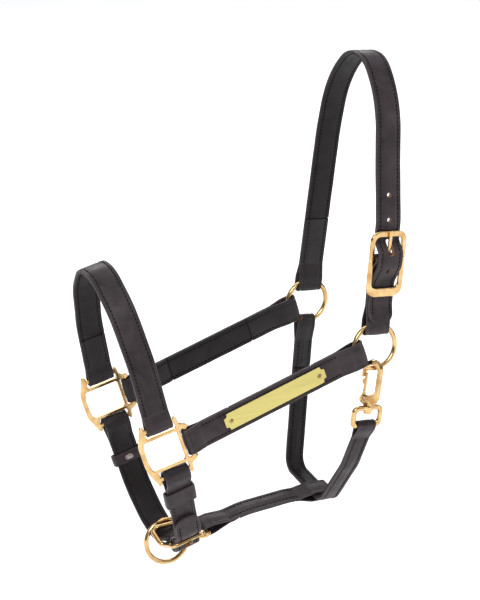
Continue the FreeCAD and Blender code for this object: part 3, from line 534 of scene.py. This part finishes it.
def strap(name, body, place, plane, points, layer=0, width=STRAP, along=None, profile=DOMED,
          turns=(None, None), tip=0.0, skive=0.0, closed=False, cuts=(), finish=None):
    """One layer of leather along a path: layer 0 lies left of it and layer -1, the lining, right.

    tip rounds the outline of the first end, and skive thins it. turns are the folds at the two
    ends, whose laps get painted shade. The strap's line is returned for its stitching.
    """
    line = Line(points, closed)
    lift, across = PLANES[plane]
    across = along or across
    half = width / 2
    kept = ring_lengths(line, closed, tip, skive)
    shape = section(width, profile)
    first_turn = line.nearest(turns[0][4]) if turns[0] else -1.0
    last_turn = line.nearest(turns[1][4]) if turns[1] else line.total + 1.0
    verts, rims, bends, lies, unders = [], [], [], [], []
    for length in kept:
        spot, normal, bend = line.find(length)
        ends = 10.0 if closed else min(length, line.total - length)
        inset = 0.0 if ends >= ROUNDED_END else (0.14 if ends > 0.1 else 0.45)
        reach = half
        thick = 1.0
        if tip and length < tip:
            reach = half - tip + math.sqrt(max(0.0, tip ** 2 - (tip - length) ** 2))
        if skive and length < skive:
            thick = 0.34 + 0.66 * length / skive
        for side, height, rim in shape:
            wide = side / half * (reach - inset)
            tall = PLY / 2 + (height - PLY / 2) * (1 - 0.7 * inset)
            tall *= thick
            wander = noise.noise(Vector((length * 0.03, side * 0.02, len(name))))
            edge = noise.noise(Vector((length * 0.05, 9.0 if side > 0 else -9.0, len(name))))
            if height > 1.0:
                tall += 0.07 * wander
            wide += 0.16 * edge * abs(side) / half
            out = tall if layer == 0 else -tall
            lifted = spot + normal * out
            verts.append(place @ (lift(lifted.x, lifted.y) + across * wide) * MM)
            rims.append(rim if inset < 0.2 else 1.0)
            bends.append(min(1.0, bend * 4.0))
            lies.extend((length, wide, 3.0 * layer))
            unders.append(0.0 if first_turn < length < last_turn else 1.0)
    mesh = bpy.data.meshes.new(name)
    mesh.from_pydata(verts, [], tube_faces(len(kept), len(shape), closed))
    for key, kind, values, field in (("rim", "FLOAT", rims, "value"), ("bend", "FLOAT", bends, "value"),
                                     ("under", "FLOAT", unders, "value"),
                                     ("lie", "FLOAT_VECTOR", lies, "vector")):
        mesh.attributes.new(key, kind, "POINT").data.foreach_set(field, values)
    # The lining layer takes the darker leather, which paints shade on the inner faces.
    mesh.materials.append(finish or (LEATHER if layer == 0 else SHADED_LINING))
    mesh.materials.append(RAW)
    outward(mesh)
    if cuts:
        mesh = pierced(mesh, cuts)
    mesh.polygons.foreach_set("use_smooth", [True] * len(mesh.polygons))
    link(name + "_leather", mesh, body, name)
    return line


def outward(mesh):
    """Turns a closed mesh's faces to look out."""
    work = bmesh.new()
    work.from_mesh(mesh)
    bmesh.ops.recalc_face_normals(work, faces=work.faces)
    work.to_mesh(mesh)
    work.free()


def prism(place, points, low, high):
    """Cutter along the Y axis of a place, from low to high, with a rounded outline in its XZ plane."""
    line = Line(points, closed=True, step=1.2)
    ring = line.spots[:-1] if (line.spots[0] - line.spots[-1]).length < 0.05 else line.spots
    verts = [place @ Vector((spot.x, y, spot.y)) * MM for y in (low, high) for spot in ring]
    count = len(ring)
    faces = [tuple(range(count)), tuple(reversed(range(count, 2 * count)))]
    faces += [(n, n + count, (n + 1) % count + count, (n + 1) % count) for n in range(count)]
    mesh = bpy.data.meshes.new("cutter")
    mesh.from_pydata(verts, [], faces)
    mesh.materials.append(LEATHER)
    mesh.materials.append(RAW)
    outward(mesh)
    mesh.polygons.foreach_set("material_index", [1] * len(mesh.polygons))
    return mesh


def pierced(mesh, cuts):
    """The mesh with holes cut through it, whose walls show raw leather."""
    work = bpy.data.objects.new("pierced", mesh)
    bpy.context.scene.collection.objects.link(work)
    tools = []
    for cut in cuts:
        tool = bpy.data.objects.new("cutter", cut)
        bpy.context.scene.collection.objects.link(tool)
        tools.append(tool)
        modifier = work.modifiers.new("cut", "BOOLEAN")
        modifier.operation = "DIFFERENCE"
        modifier.solver = "EXACT"
        modifier.object = tool
    bpy.context.view_layer.update()
    graph = bpy.context.evaluated_depsgraph_get()
    made = bpy.data.meshes.new_from_object(work.evaluated_get(graph), depsgraph=graph)
    for item in [work] + tools:
        bpy.data.objects.remove(item)
    return made


# ---------------------------------------------------------------- stitching

# One stitch: share of its length from its middle, thread radius, and depth sunk in the leather.
STITCH = ((-0.42, 0.12, 0.55), (-0.36, 0.34, 0.16), (-0.14, 0.42, 0.0),
          (0.14, 0.42, 0.0), (0.36, 0.34, 0.16), (0.42, 0.12, 0.55))
STITCH_PITCH = 3.7
STITCH_SIDES = 6


def stitch_rows(name, body, place, plane, line, start, stop, rows, along=None):
    """Rows of saddle stitches as real thread: rows are (across, height) pairs."""
    lift, across = PLANES[plane]
    across = along or across
    verts, faces = [], []
    count = max(1, round((stop - start) / STITCH_PITCH))
    pace = (stop - start) / count
    for wide, height in rows:
        for number in range(count):
            middle = start + (number + 0.5) * pace + rng.uniform(-0.07, 0.07)
            slant = 0.16 * (1 if wide > 0 else -1)
            faces += tube_faces(len(STITCH), STITCH_SIDES, first=len(verts))
            for share, radius, sink in STITCH:
                spot, normal, _ = line.find(middle + share * pace * 0.9)
                level = height - math.copysign(sink, height)
                middle_spot = spot + normal * level
                centre = lift(middle_spot.x, middle_spot.y) + across * (wide + slant * share * 2)
                upward = lift(normal.x, normal.y)
                for corner in range(STITCH_SIDES):
                    angle = math.pi * corner / 3
                    out = across * (math.cos(angle) * radius) + upward * (math.sin(angle) * radius * 0.85)
                    verts.append(place @ (centre + out) * MM)
    mesh = bpy.data.meshes.new(name)
    mesh.from_pydata(verts, [], faces)
    mesh.materials.append(THREAD)
    outward(mesh)
    mesh.polygons.foreach_set("use_smooth", [True] * len(mesh.polygons))
    link(name, mesh, body)


def both_faces(width, inset=3.6, front=1.98, back=-1.98):
    """Rows near both edges, on the front and on the back."""
    half = width / 2 - inset
    return [(half, front), (-half, front), (half, back), (-half, back)]


# ---------------------------------------------------------------- crown

ROOT = "headcollar"
CROWN_TOP = CROWN_RISE + PLY
NEAR_TILT = math.radians(NEAR_LEAN)
NEAR_RING_TOP = (-SPAN + RING * math.sin(NEAR_TILT), RING)
OFF_RING_TOP = (SPAN, RING)
BAR_GAP = BAR_WIDTH / 2 + CLEAR
RING_GAP = WIRE / 2 + CLEAR + 0.9
RING_DEPTH = 8.4
CROWN_LAP = 66.0
BUCKLE_Y = -75.5
BUCKLE_Z = 90.0
BEHIND_FRAME = BUCKLE_Y + 4.0
OVER_BAR = BUCKLE_Y - 6.5
BILLET = [(-77.0, 24.5), (BEHIND_FRAME, 42.0, 20.0), (BEHIND_FRAME, 65.5, 12.0),
          (OVER_BAR, 83.0, 12.0), (OVER_BAR, 96.5, 6.0), (BEHIND_FRAME, 106.0, 6.0)]
ARCH = [(-71.6, 124.0, 30.0), (-59.0, 179.9, 250.0), (-49.3, 235.2, 92.0), (-15.4, CROWN_TOP, 34.0),
        (15.4, CROWN_TOP, 34.0), (49.3, 235.2, 92.0), (59.0, 179.9, 250.0)]
NEAR_SIDE = (-100, -40)  # where a cutter through the near side of the crown starts and ends
PUNCH = (4.6, 4.6, 2.29)  # width, height and corner radius of a punched round hole


def build_crown():
    turn = fold(OFF_RING_TOP, ARCH[-1], RING_GAP, RING_DEPTH, CROWN_LAP, side=-1)
    foot = at_height(ARCH[-1], turn[-1], OFF_RING_TOP[1] + CROWN_LAP + LINING_GAP)
    holes = [prism(REAR, rectangle(*PUNCH, 0, BUCKLE_Z + rise), *NEAR_SIDE) for rise in (-12.0, 35.5, 58.5)]
    holes.append(prism(REAR, rectangle(5.6, 14.0, 2.6, 0, BUCKLE_Z + 10.5), *NEAR_SIDE))
    line = strap("crown_strap", ROOT, REAR, "YZ", BILLET + ARCH + turn[::-1],
                 turns=(None, turn), tip=10.5, cuts=holes)
    strap("crown_lining", ROOT, REAR, "YZ", BILLET + ARCH + [foot], -1, tip=10.5, cuts=holes)
    stitch_rows("crown_stitching", ROOT, REAR, "YZ", line, 9.0, line.nearest(turn[-1]) - 1, both_faces(STRAP))


def build_crown_tab():
    knee = (BEHIND_FRAME + 4.8, 66.0)
    ring_fold = fold(NEAR_RING_TOP, knee, RING_GAP, RING_DEPTH, 42.0)
    bar_fold = fold((BUCKLE_Y, BUCKLE_Z), knee, BAR_GAP, BAR_GAP, 22.0, side=-1)
    slot = prism(REAR, rectangle(5.4, 14.0, 2.6, 0, BUCKLE_Z + 2), *NEAR_SIDE)
    line = strap("crown_buckle_tab", ROOT, REAR, "YZ", ring_fold + [knee + (16.0,)] + bar_fold[::-1],
                 turns=(ring_fold, bar_fold), skive=7.0, cuts=[slot])
    stitch_rows("crown_tab_stitching", ROOT, REAR, "YZ", line, line.nearest(ring_fold[-1]) + 1,
                line.nearest(bar_fold[-1]) - 1, both_faces(STRAP))


# ---------------------------------------------------------------- cheeks

def build_cheek(side, place, ring_place):
    bar = (0.0, 0.0)
    wire = (ring_place.x - RING, ring_place.y)
    square_fold = fold(bar, wire, 2.7, 2.7, LAP, side=side)
    ring_fold = fold(wire, bar, RING_GAP, RING_DEPTH, LAP, side=-side)
    folds = [square_fold, ring_fold] if side > 0 else [ring_fold, square_fold]
    span = math.hypot(*wire)
    start = between(bar, wire, (LAP + LINING_GAP) / span)
    end = between(wire, bar, (LAP + LINING_GAP) / span)
    name = "near_cheek" if side < 0 else "off_cheek"
    line = strap(name + "_strap", ROOT, place, "XY", folds[0] + folds[1][::-1],
                 turns=folds, skive=5.0)
    strap(name + "_lining", ROOT, place, "XY", [start, end] if side > 0 else [end, start], -1)
    stitch_rows(name + "_stitching", ROOT, place, "XY", line, line.nearest(folds[0][-1]) + 1,
                line.nearest(folds[1][-1]) - 1, both_faces(STRAP))


# ---------------------------------------------------------------- noseband

SQUARE_GAP = CAST / 2 + CLEAR + 0.25


def build_noseband():
    arch = [(-61.5, 62.0, 80.0), (-43.0, 111.0, 60.0), (-15.0, 140.0, 32.0),
            (15.0, 140.0, 32.0), (43.0, 111.0, 60.0), (62.5, 62.0, 80.0)]
    near_fold = fold((NOSE_NEAR.y, NOSE_NEAR.z), arch[0], SQUARE_GAP, 3.8, LAP)
    off_fold = fold((NOSE_OFF.y, NOSE_OFF.z), arch[-1], SQUARE_GAP, 3.8, LAP, side=-1)
    along = NOSE.to_3x3().inverted() @ BAR_ALONG
    near_foot = at_height(near_fold[-1], arch[0], LAP + LINING_GAP)
    off_foot = at_height(off_fold[-1], arch[-1], LAP + LINING_GAP)
    line = strap("noseband_strap", ROOT, NOSE, "YZ", near_fold + arch + off_fold[::-1], along=along,
                 turns=(near_fold, off_fold), skive=5.0)
    strap("noseband_lining", ROOT, NOSE, "YZ", [near_foot] + arch + [off_foot], -1, along=along)
    stitch_rows("noseband_stitching", ROOT, NOSE, "YZ", line, line.nearest(near_fold[-1]) + 1,
                line.nearest(off_fold[-1]) - 1, both_faces(STRAP), along)


# ---------------------------------------------------------------- chin

CHIN_SLOPE = 23.0        # the chin buckle's frame from level
CHIN_BUCKLE = (-37.5, -90.0)
CHIN_GAP = SQUARE_GAP + 2.6
CHIN_DEPTH = 4.3


def on_buckle(along, out, *radius):
    """A point in the chin's plane, up along the buckle and out from its face."""
    slope = math.radians(CHIN_SLOPE)
    up = Vector((-math.cos(slope), math.sin(slope)))
    face = Vector((-math.sin(slope), -math.cos(slope)))
    return flat(Vector(CHIN_BUCKLE) + up * along + face * out) + radius


CHIN_FOOT = on_buckle(-26.0, -4.2, 30.0)
CHIN_BOTTOM = (15.0, -108.8, 24.0)
CHIN_RUN = [(58.0, -70.0, 60.0), (38.0, -101.0, 34.0), CHIN_BOTTOM, CHIN_FOOT]
TAB_KNEE = on_buckle(23.0, -8.6, 7.0)
NEAR_LEG = Vector((TAB_KNEE[0] - CHIN_NEAR.y, TAB_KNEE[1] - CHIN_NEAR.z)).normalized()
BILLET_KNEE = on_buckle(25.4, -4.2, 11.4)
CHIN_BUCKLE_PLACE = CHIN @ placed((0, CHIN_BUCKLE[0], CHIN_BUCKLE[1]), turned("X", 90 - CHIN_SLOPE))
THROUGH_CHIN = (-15, 15)  # where a cutter through the chin buckle's leather starts and ends


def build_chin():
    off_fold = fold((CHIN_OFF.y, CHIN_OFF.z), CHIN_RUN[0], CHIN_GAP, CHIN_DEPTH, 42.0, taper=2.4)
    weave = [on_buckle(-13.6, -4.3, 5.0), on_buckle(-5.5, 6.6, 6.0), on_buckle(4.5, 6.6, 6.0),
             on_buckle(15.0, -4.2, 6.0), BILLET_KNEE]
    tip = flat(Vector(BILLET_KNEE[:2]) - NEAR_LEG * 25.0)
    run = CHIN_RUN + weave + [tip]
    foot = at_height(off_fold[-1], CHIN_RUN[0], -42.0 - LINING_GAP)
    hole = prism(CHIN_BUCKLE_PLACE, rectangle(5.6, 14.0, 0.3, 0, 8.6), *THROUGH_CHIN)
    ends = (off_fold + run)[::-1]
    # The chin's outer face takes the strap leather, and its inner face the darker lining as painted shade.
    line = strap("chin_strap", ROOT, CHIN, "YZ", ends, -1, turns=(None, off_fold), tip=11.0, cuts=[hole],
                 finish=LEATHER)
    strap("chin_strap_lining", ROOT, CHIN, "YZ", ([foot] + run)[::-1], 0, tip=11.0, cuts=[hole],
          finish=SHADED_LINING)
    stitch_rows("chin_stitching", ROOT, CHIN, "YZ", line, 9.0, line.nearest(off_fold[-1]) - 1,
                both_faces(STRAP))


def build_chin_tab():
    square_fold = fold((CHIN_NEAR.y, CHIN_NEAR.z), TAB_KNEE, CHIN_GAP, CHIN_DEPTH, LAP, side=-1, taper=2.4)
    approach = on_buckle(12.0, -8.6, 6.0)
    bar_fold = fold(CHIN_BUCKLE, approach, BAR_GAP, BAR_GAP, 12.6)
    hole = prism(CHIN_BUCKLE_PLACE, rectangle(5.4, 14.0, 0.3, 0, 2.0), *THROUGH_CHIN)
    line = strap("near_chin_tab", ROOT, CHIN, "YZ", bar_fold + [approach, TAB_KNEE] + square_fold[::-1],
                 profile=PLAIN, turns=(bar_fold, square_fold), cuts=[hole])
    stitch_rows("chin_tab_stitching", ROOT, CHIN, "YZ", line, line.nearest(TAB_KNEE) + 3,
                line.nearest(square_fold[-1]) - 1, both_faces(STRAP, 3.6, 2.0, -2.0))


def band_place(place, direction):
    """Frame of a band round a chin strap, with Z along the strap."""
    tilt = math.degrees(math.atan2(-direction.x, direction.y))
    return CHIN @ placed((0, place[0], place[1]), turned("X", tilt))


KEEPER_DOWN = 28.0       # from the squares' bars down the chin strap
BAND_DOWN = 39.0


def build_bands():
    spot = (CHIN_NEAR.y + NEAR_LEG.x * KEEPER_DOWN, CHIN_NEAR.z + NEAR_LEG.y * KEEPER_DOWN)
    place = band_place(spot, -NEAR_LEG)
    outline = rectangle(STRAP + 1.8, STACK + 0.9, 0.6)[::-1]
    strap("chin_keeper", "keeper", place, "XY", outline, width=17.0, profile=BAND, closed=True)
    leg = Vector((CHIN_OFF.y - CHIN_RUN[0][0], CHIN_OFF.z - CHIN_RUN[0][1])).normalized()
    place = band_place((CHIN_OFF.y - leg.x * BAND_DOWN, CHIN_OFF.z - leg.y * BAND_DOWN), leg)
    outline = rectangle(STRAP + 2.6, STACK + 0.9, 0.6)[::-1]
    strap("off_chin_band", ROOT, place, "XY", outline, width=11.0, profile=BAND, closed=True)


# ---------------------------------------------------------------- throatlatch and jaw strap

NEAR_RING_FOOT = (0, -SPAN - RING * math.sin(NEAR_TILT), -RING * math.cos(NEAR_TILT))
SNAP = REAR @ placed(NEAR_RING_FOOT, turned("X", 4.0))
LOOP_BAR = -59.6         # the swivel loop's bar below the ring's wire
THROAT = [(64.5, -175.0, 15.0), (-9.0, -182.6, 18.0)]
THROAT_RISE = (-46.0, -130.0, 70.0)


THROAT_LAP = 48.0        # on the off ring
SNAP_LAP = 42.0          # on the snap's swivel loop


def build_throatlatch():
    bar = REAR.inverted() @ at(SNAP, 0, 0, LOOP_BAR)
    near_bar = (bar.y, bar.z)
    off_fold = fold((SPAN, -RING), THROAT[0], RING_GAP, 5.6, THROAT_LAP)
    gap = WIRE / 2 + CLEAR + 0.3
    near_fold = fold(near_bar, THROAT_RISE, gap, gap, SNAP_LAP, side=-1)
    run = THROAT + [THROAT_RISE]
    wire = (OFF_RING.x - RING, OFF_RING.y)
    # Room for the off cheek's fold, which this strap meets on the ring.
    notch_outline = rectangle(19.9, 25.4, 0.3, wire[0] + 0.95, -0.5)
    notch = prism(OFF_CHEEK, notch_outline, wire[1] - 12, wire[1] + 12)
    line = strap("throatlatch_strap", ROOT, REAR, "YZ", off_fold + run + near_fold[::-1], width=NARROW,
                 turns=(off_fold, near_fold), skive=5.0, cuts=[notch])
    top = at_height(off_fold[-1], run[0], -RING - THROAT_LAP - LINING_GAP)
    span = math.hypot(near_bar[0] - THROAT_RISE[0], near_bar[1] - THROAT_RISE[1])
    end = between(near_bar, THROAT_RISE, (SNAP_LAP + LINING_GAP) / span)
    strap("throatlatch_lining", ROOT, REAR, "YZ", [top] + run + [end], -1, width=NARROW)
    stitch_rows("throatlatch_stitching", ROOT, REAR, "YZ", line, line.nearest(off_fold[-1]) + 1,
                line.nearest(near_fold[-1]) - 1, both_faces(NARROW))


LOOP_ACROSS = -3.0       # chin loop from the middle plane, a little to the near side
LOOP_SHIFT = 11.2        # its middle behind the chin strap
LOOP_LENGTH = 54.7       # chin loop, to the middle of the wire
JAW_CROSSING = 12.5      # where the jaw strap meets the throatlatch, from the middle plane
LOOP_LAP = 33.0          # on the chin loop
CROSSING_LAP = 31.0      # round the throatlatch


def build_jaw_strap():
    share = (LOOP_ACROSS - CHIN_FOOT[0]) / (CHIN_BOTTOM[0] - CHIN_FOOT[0])
    height = between(CHIN_FOOT, CHIN_BOTTOM, share)[1]
    turn = turned("Z", 5.0) @ turned("X", 22.0)
    loop = placed(at(CHIN, 0, LOOP_ACROSS, height) + turn.to_3x3() @ Vector((LOOP_SHIFT, 0, 0)), turn)
    start = at(loop, LOOP_LENGTH / 2, 0, 0)
    share = (JAW_CROSSING - THROAT[0][0]) / (THROAT[1][0] - THROAT[0][0])
    end = at(REAR, 0, JAW_CROSSING, between(THROAT[0], THROAT[1], share)[1])
    run = end - start
    place = placed(start, turned("Z", math.degrees(math.atan2(run.y, run.x))) @ turned("X", 13.0))
    finish = place.inverted() @ end
    crossing = (finish.x, finish.z)
    climb = (42.0, 9.0)
    descent = (38.0, 3.6)
    arch = [climb + (80.0,), (finish.x - descent[0], finish.z + descent[1], 30.0)]
    front = fold((0, 0), arch[0], WIRE / 2 + CLEAR + 1.6, 6.4, LOOP_LAP)
    rear = fold(crossing, arch[-1], 3.8, 12.8, CROSSING_LAP, side=-1, reach=11.8)
    line = strap("jaw_strap", ROOT, place, "XZ", front + arch + rear[::-1], width=NARROW,
                 turns=(front, rear), skive=5.0)
    foot = between((0, 0), arch[0], (LOOP_LAP + LINING_GAP) / math.hypot(*climb))
    heel = between(crossing, arch[1], (CROSSING_LAP + LINING_GAP) / math.hypot(*descent))
    strap("jaw_strap_lining", ROOT, place, "XZ", [foot] + arch + [heel], -1, width=NARROW)
    stitch_rows("jaw_stitching", ROOT, place, "XZ", line, line.nearest(front[-1]) + 1,
                line.nearest(rear[-1]) - 1, both_faces(NARROW))


# ---------------------------------------------------------------- brass from the frame

WELD_GAP = 0.000005      # metres within which the frame's doubled corners are one
SHARP = 40               # degrees from which an edge is rounded


def polish(node, material, bevel, segments):
    """Gives a CAD casting its finish and, where bevel isn't 0, worn, rounded edges."""
    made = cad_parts[node]
    made.data.materials.clear()
    made.data.materials.append(material)
    weld = made.modifiers.new("weld", "WELD")
    weld.merge_threshold = WELD_GAP
    if bevel:
        rounding = made.modifiers.new("worn_edges", "BEVEL")
        rounding.width = bevel * MM
        rounding.segments = segments
        rounding.limit_method = "ANGLE"
        rounding.angle_limit = math.radians(SHARP)
        rounding.use_clamp_overlap = True
    made.data.polygons.foreach_set("use_smooth", [True] * len(made.data.polygons))
    shading = made.modifiers.new("shading", "WEIGHTED_NORMAL")
    shading.keep_sharp = False
    shading.weight = 60


def build_brass():
    finishes = (
        (BRASS, 0.25, 3, ("near_halter_square", "off_halter_square")),
        (BRASS, 0.0, 3, ("near_cheek_ring", "off_cheek_ring", "chin_ring", "chin_loop")),
        (BRASS, 0.2, 3, ("crown_buckle_frame", "chin_buckle_frame", "snap_swivel_loop")),
        (BRASS, 0.3, 3, ("crown_buckle_tongue", "chin_buckle_tongue", "snap_hook", "snap_gate")),
        (AGED, 0.12, 2, ("snap_gate_pin", "name_plate_rivets", "name_plate_burrs")),
        (plate_shader(), 0.22, 3, ("name_plate",)),
        (stud_shader(), 0.1, 2, ("off_chin_stud",)),
    )
    for material, bevel, segments, nodes in finishes:
        for node in nodes:
            polish(node, material, bevel, segments)


build_crown()
build_crown_tab()
build_cheek(-1, NEAR_CHEEK, NEAR_RING)
build_cheek(1, OFF_CHEEK, OFF_RING)
build_noseband()
build_chin()
build_chin_tab()
build_bands()
build_throatlatch()
build_jaw_strap()
build_brass()


# ---------------------------------------------------------------- studio

MIDDLE = (-0.13, 0.0, -0.25)
FLOOR_GAP = 0.03         # from the object's lowest point to the floor
FLOOR_HALF = 9
CAMERA_AIM = (-0.1321, 0, -0.2239)
CAMERA_BACK = (-0.4119, -0.8446, 0.3420)
CAMERA_DISTANCE = 2.300


def area_light(name, spot, size, watts):
    """A soft light aimed at the middle of the object."""
    data = bpy.data.lights.new(name, "AREA")
    data.shape = "RECTANGLE"
    data.size, data.size_y = size
    data.energy = watts
    made = bpy.data.objects.new(name, data)
    made.location = spot
    made.rotation_mode = "QUATERNION"
    made.rotation_quaternion = (Vector(MIDDLE) - Vector(spot)).to_track_quat("-Z", "Y")
    bpy.context.scene.collection.objects.link(made)


def build_lights():
    area_light("key", (-1.5, -1.7, 1.3), (1.3, 1.3), 30.0)
    area_light("fill", (1.6, -1.4, 0.5), (0.9, 1.6), 9.0)
    area_light("top", (0.1, 0.3, 1.9), (1.6, 1.6), 15.0)
    area_light("rim", (0.4, 1.9, 0.8), (1.6, 0.8), 14.0)


def build_world():
    """A studio that is dark below and pale above, for the brass to reflect."""
    world = bpy.data.worlds.new("studio")
    world.use_nodes = True
    bpy.context.scene.world = world
    tree = world.node_tree
    place = tree.nodes.new("ShaderNodeTexCoord")
    split = tree.nodes.new("ShaderNodeSeparateXYZ")
    tree.links.new(place.outputs["Generated"], split.inputs[0])
    lift = tree.nodes.new("ShaderNodeMapRange")
    lift.inputs["From Min"].default_value = -1.0
    tree.links.new(split.outputs["Z"], lift.inputs["Value"])
    shade = tree.nodes.new("ShaderNodeValToRGB")
    shade.color_ramp.elements[0].position = 0.46
    shade.color_ramp.elements[0].color = (0.05, 0.045, 0.045, 1)
    shade.color_ramp.elements[1].position = 0.80
    shade.color_ramp.elements[1].color = (0.92, 0.94, 1.0, 1)
    tree.links.new(lift.outputs[0], shade.inputs["Fac"])
    tree.links.new(shade.outputs["Color"], tree.nodes["Background"].inputs["Color"])
    tree.nodes["Background"].inputs["Strength"].default_value = 0.6


def build_floor():
    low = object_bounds()[0].z - FLOOR_GAP
    corners = [(x * FLOOR_HALF, y * FLOOR_HALF, low) for x, y in ((-1, -1), (1, -1), (1, 1), (-1, 1))]
    mesh = bpy.data.meshes.new("floor")
    mesh.from_pydata(corners, [], [(0, 1, 2, 3)])
    paper = Shader("paper", Roughness=0.9, Emission_Strength=0.38)
    paper.main.inputs["Emission Color"].default_value = (1, 1, 1, 1)
    paper.colour(paper.ramp(paper.noise(6.0), (0.3, (0.90, 0.90, 0.90)), (0.7, (0.93, 0.93, 0.93))))
    mesh.materials.append(paper.material)
    floor = bpy.data.objects.new("floor", mesh)
    bpy.context.scene.collection.objects.link(floor)


def build_camera():
    back = Vector(CAMERA_BACK).normalized()
    lens = bpy.data.cameras.new("camera")
    lens.lens = 145.3
    lens.sensor_width = 36.0
    lens.clip_end = 50.0
    camera = bpy.data.objects.new("camera", lens)
    camera.location = Vector(CAMERA_AIM) + back * CAMERA_DISTANCE
    camera.rotation_mode = "QUATERNION"
    camera.rotation_quaternion = (-back).to_track_quat("-Z", "Y")
    bpy.context.scene.collection.objects.link(camera)
    bpy.context.scene.camera = camera
    bpy.context.scene.view_settings.view_transform = "Standard"


build_lights()
build_world()
build_floor()
build_camera()
